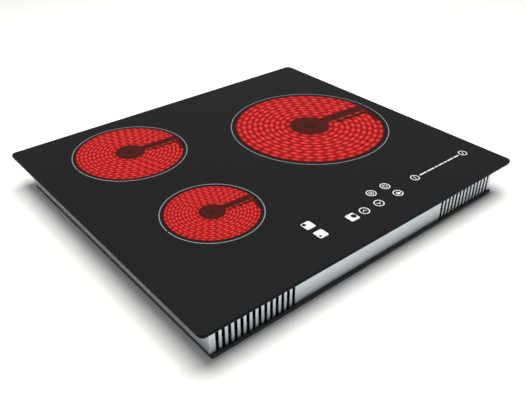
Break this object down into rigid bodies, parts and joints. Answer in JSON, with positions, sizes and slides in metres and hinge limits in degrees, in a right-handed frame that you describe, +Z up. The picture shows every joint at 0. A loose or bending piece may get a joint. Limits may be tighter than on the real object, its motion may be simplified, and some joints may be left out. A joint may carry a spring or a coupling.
{
  "type": "built-in ceramic hob",
  "caption": "Built-in radiant glass-ceramic hob: glowing cooking zones with printed rings, touch key and slider row, silver casing with front vents and a black base.",
  "frame": {"origin": "middle of the footprint of the glass plate, on the surface that the base plate stands on", "axes": "+Z up, +X to the user's right, -Y towards the user; the control row lies at the -Y edge of the glass"},
  "size_m": [0.59, 0.52, 0.06],
  "materials": {
    "glass_ceramic": "satin",
    "grey_enamel": "satin",
    "white_enamel": "satin",
    "casing_steel": "satin",
    "black_base": "matte",
    "zinc_screws": "satin",
    "silicone": "satin",
    "foam_seal": "matte",
    "galvanised_steel": "satin",
    "pan_steel": "satin",
    "insulation": "matte",
    "heating_alloy": "matte",
    "sensor_steel": "satin",
    "steatite": "matte",
    "tab_brass": "satin",
    "spring_steel": "satin",
    "carrier_plastic": "matte",
    "board_laminate": "satin",
    "carbon_rubber": "matte",
    "led_lens": "gloss",
    "chip_plastic": "matte",
    "standoff_nylon": "satin",
    "terminal_plastic": "satin",
    "relay_plastic": "satin",
    "transformer_iron": "satin",
    "capacitor_sleeve": "gloss",
    "gland_plastic": "satin",
    "fan_plastic": "satin",
    "rotor_plastic": "satin",
    "wire_silicone": "satin",
    "wire_brown": "satin",
    "cable_grey": "satin"
  },
  "bodies": {
    "root": {"glass_ceramic_plate": "glass_ceramic", "zone_ring_print": "grey_enamel", "control_print": "white_enamel", "side_casing": "casing_steel", "base_plate": "black_base", "base_screws": "zinc_screws", "glass_bond_bead": "silicone", "worktop_seal": "foam_seal", "left_rails": "galvanised_steel", "right_rails": "galvanised_steel", "control_carrier": "carrier_plastic", "touch_board": "board_laminate", "touch_pads": "carbon_rubber", "lamp_leds": "led_lens", "touch_board_chips": "chip_plastic", "board_standoffs": "standoff_nylon", "power_board": "board_laminate", "board_screws": "zinc_screws", "board_terminals": "terminal_plastic", "power_relays": "relay_plastic", "supply_transformer": "transformer_iron", "supply_capacitors": "capacitor_sleeve", "mains_terminal_block": "terminal_plastic", "mains_terminal_screws": "zinc_screws", "cable_gland": "gland_plastic", "gland_locknut": "gland_plastic", "fan_housing": "fan_plastic", "fan_cover": "fan_plastic", "fan_screws": "zinc_screws", "heater_wires": "wire_silicone", "mains_wires": "wire_brown", "control_cable": "cable_grey", "fan_cable": "cable_grey", "wire_saddles": "standoff_nylon", "heater_right_springs": "spring_steel", "heater_rear_left_springs": "spring_steel", "heater_front_left_springs": "spring_steel"},
    "heater_right": {"heater_right_pan": "pan_steel", "heater_right_insulation_bed": "insulation", "heater_right_insulation_rim": "insulation", "heater_right_ribbon": "heating_alloy", "heater_right_sensor_tube": "sensor_steel", "heater_right_connector": "steatite", "heater_right_tabs": "tab_brass"},
    "heater_rear_left": {"heater_rear_left_pan": "pan_steel", "heater_rear_left_insulation_bed": "insulation", "heater_rear_left_insulation_rim": "insulation", "heater_rear_left_ribbon": "heating_alloy", "heater_rear_left_sensor_tube": "sensor_steel", "heater_rear_left_connector": "steatite", "heater_rear_left_tabs": "tab_brass"},
    "heater_front_left": {"heater_front_left_pan": "pan_steel", "heater_front_left_insulation_bed": "insulation", "heater_front_left_insulation_rim": "insulation", "heater_front_left_ribbon": "heating_alloy", "heater_front_left_sensor_tube": "sensor_steel", "heater_front_left_connector": "steatite", "heater_front_left_tabs": "tab_brass"},
    "fan_rotor": {"fan_rotor": "rotor_plastic"}
  },
  "joints": [
    {"name": "heater_right_float", "type": "slide", "parent": "root", "child": "heater_right", "axis": [0, 0, 1], "range_m": [-0.0015, 0], "stiffness_N_per_m": 8000, "springref_m": 0.004, "deforming": ["heater_right_springs"]},
    {"name": "heater_rear_left_float", "type": "slide", "parent": "root", "child": "heater_rear_left", "axis": [0, 0, 1], "range_m": [-0.0015, 0], "stiffness_N_per_m": 8000, "springref_m": 0.004, "deforming": ["heater_rear_left_springs"]},
    {"name": "heater_front_left_float", "type": "slide", "parent": "root", "child": "heater_front_left", "axis": [0, 0, 1], "range_m": [-0.0015, 0], "stiffness_N_per_m": 8000, "springref_m": 0.004, "deforming": ["heater_front_left_springs"]},
    {"name": "fan_spin", "type": "hinge", "parent": "root", "child": "fan_rotor", "pos_m": [-0.206, -0.188, 0.014], "axis": [0, 0, 1], "continuous": true}
  ]
}
